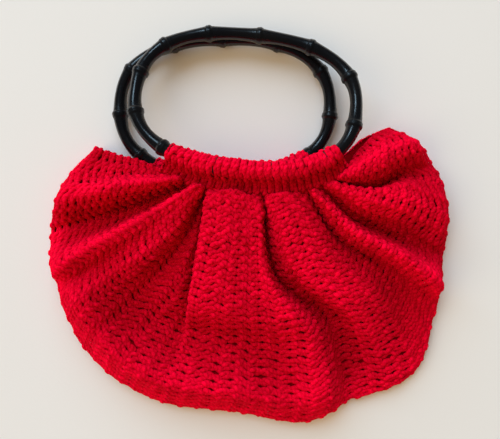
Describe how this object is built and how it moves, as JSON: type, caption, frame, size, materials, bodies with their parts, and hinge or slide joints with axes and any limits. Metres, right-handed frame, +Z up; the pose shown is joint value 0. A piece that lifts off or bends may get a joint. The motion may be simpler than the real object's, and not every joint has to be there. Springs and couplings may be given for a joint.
{
  "type": "gathered knitted handbag",
  "caption": "Soft hollow handbag lying flat, its pleated body gathered into yokes whose sleeves hold oval bamboo-shaped ring handles.",
  "frame": {"origin": "centre of the footprint, on the surface the bag lies on", "axes": "+Z up from the surface, out of the bag's front; +Y from the hem towards the handles; +X towards the bag's right side as seen from above"},
  "size_m": [0.3509, 0.3474, 0.0546],
  "materials": {
    "red_yarn": "matt crocheted wool",
    "black_resin": "glossy"
  },
  "bodies": {
    "root": {"bag_body": "red_yarn", "front_band": "red_yarn", "back_band": "red_yarn", "front_handle": "black_resin", "back_handle": "black_resin"}
  },
  "joints": []
}
